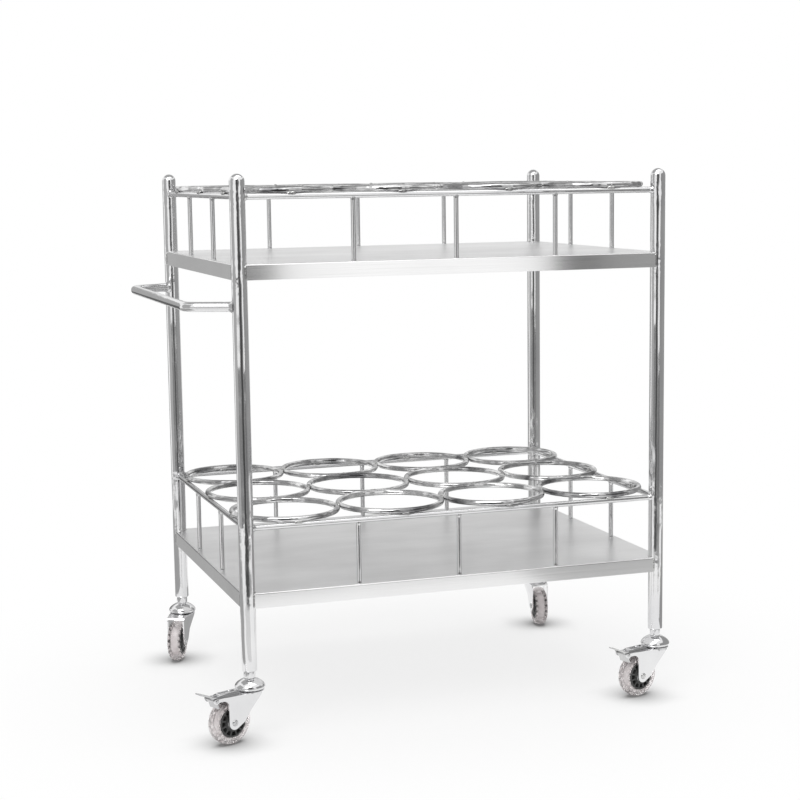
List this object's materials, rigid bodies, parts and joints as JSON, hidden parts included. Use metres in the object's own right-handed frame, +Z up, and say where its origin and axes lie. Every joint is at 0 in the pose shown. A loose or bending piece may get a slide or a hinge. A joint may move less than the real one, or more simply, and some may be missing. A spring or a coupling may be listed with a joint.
{
  "type": "hot water flask trolley",
  "caption": "Two-shelf steel trolley on swivel casters, each shelf with a guard rail and a rack of rings that hold round flasks, with a push handle at one end.",
  "frame": {"origin": "on the floor, midway between the four posts", "axes": "+Z up, +X along the length away from the push handle, -Y towards the front"},
  "size_m": [0.8487, 0.6149, 0.909],
  "materials": {
    "polished_steel": "polished",
    "satin_steel": "satin",
    "plated_steel": "bright plated",
    "clear_tread": "translucent",
    "dark_plastic": "matte"
  },
  "bodies": {
    "frame": {"post_front_left": "polished_steel", "post_front_right": "polished_steel", "post_rear_left": "polished_steel", "post_rear_right": "polished_steel", "post_caps": "polished_steel", "post_plugs": "plated_steel", "caster_stems": "plated_steel", "stem_nuts": "plated_steel", "swivel_cap_front_left": "plated_steel", "swivel_cap_front_right": "plated_steel", "swivel_cap_rear_left": "plated_steel", "swivel_cap_rear_right": "plated_steel", "lower_shelf": "satin_steel", "lower_shelf_stiffener": "satin_steel", "lower_balusters": "polished_steel", "lower_rail_front": "polished_steel", "lower_rail_rear": "polished_steel", "lower_rail_left": "polished_steel", "lower_rail_right": "polished_steel", "lower_rings_front": "polished_steel", "lower_rings_middle": "polished_steel", "lower_rings_rear": "polished_steel", "upper_shelf": "satin_steel", "upper_shelf_stiffener": "satin_steel", "upper_balusters": "polished_steel", "upper_rail_front": "polished_steel", "upper_rail_rear": "polished_steel", "upper_rail_left": "polished_steel", "upper_rail_right": "polished_steel", "upper_rings_front": "polished_steel", "upper_rings_middle": "polished_steel", "upper_rings_rear": "polished_steel", "push_handle": "polished_steel"},
    "swivel_front_left": {"fork_front_left": "plated_steel", "axle_front_left": "plated_steel", "brake_pin_front_left": "plated_steel", "brake_spring_front_left": "plated_steel"},
    "wheel_front_left": {"tyre_front_left": "clear_tread", "hub_front_left": "dark_plastic", "bearing_front_left": "plated_steel"},
    "brake_front_left": {"brake_pedal_front_left": "plated_steel"},
    "swivel_front_right": {"fork_front_right": "plated_steel", "axle_front_right": "plated_steel", "brake_pin_front_right": "plated_steel", "brake_spring_front_right": "plated_steel"},
    "wheel_front_right": {"tyre_front_right": "clear_tread", "hub_front_right": "dark_plastic", "bearing_front_right": "plated_steel"},
    "brake_front_right": {"brake_pedal_front_right": "plated_steel"},
    "swivel_rear_left": {"fork_rear_left": "plated_steel", "axle_rear_left": "plated_steel"},
    "wheel_rear_left": {"tyre_rear_left": "clear_tread", "hub_rear_left": "dark_plastic", "bearing_rear_left": "plated_steel"},
    "swivel_rear_right": {"fork_rear_right": "plated_steel", "axle_rear_right": "plated_steel"},
    "wheel_rear_right": {"tyre_rear_right": "clear_tread", "hub_rear_right": "dark_plastic", "bearing_rear_right": "plated_steel"}
  },
  "joints": [
    {"name": "swivel_front_left", "type": "hinge", "parent": "frame", "child": "swivel_front_left", "pos_m": [-0.36345, -0.2714, 0.082], "axis": [0, 0, 1], "continuous": true},
    {"name": "spin_front_left", "type": "hinge", "parent": "swivel_front_left", "child": "wheel_front_left", "pos_m": [-0.40291, -0.28848, 0.0375], "axis": [0.3971, -0.9178, 0], "continuous": true},
    {"name": "brake_front_left", "type": "hinge", "parent": "swivel_front_left", "child": "brake_front_left", "pos_m": [-0.43272, -0.30137, 0.07951], "axis": [0.3971, -0.9178, 0], "range_deg": [0, 20]},
    {"name": "swivel_front_right", "type": "hinge", "parent": "frame", "child": "swivel_front_right", "pos_m": [0.36345, -0.2714, 0.082], "axis": [0, 0, 1], "continuous": true},
    {"name": "spin_front_right", "type": "hinge", "parent": "swivel_front_right", "child": "wheel_front_right", "pos_m": [0.32251, -0.28454, 0.0375], "axis": [0.3057, -0.9521, 0], "continuous": true},
    {"name": "brake_front_right", "type": "hinge", "parent": "swivel_front_right", "child": "brake_front_right", "pos_m": [0.29159, -0.29447, 0.07951], "axis": [0.3057, -0.9521, 0], "range_deg": [0, 20]},
    {"name": "swivel_rear_left", "type": "hinge", "parent": "frame", "child": "swivel_rear_left", "pos_m": [-0.36345, 0.2714, 0.082], "axis": [0, 0, 1], "continuous": true},
    {"name": "spin_rear_left", "type": "hinge", "parent": "swivel_rear_left", "child": "wheel_rear_left", "pos_m": [-0.3821, 0.23265, 0.0375], "axis": [0.9011, -0.4337, 0], "continuous": true},
    {"name": "swivel_rear_right", "type": "hinge", "parent": "frame", "child": "swivel_rear_right", "pos_m": [0.36345, 0.2714, 0.082], "axis": [0, 0, 1], "continuous": true},
    {"name": "spin_rear_right", "type": "hinge", "parent": "swivel_rear_right", "child": "wheel_rear_right", "pos_m": [0.35532, 0.22918, 0.0375], "axis": [0.982, -0.1891, 0], "continuous": true}
  ]
}
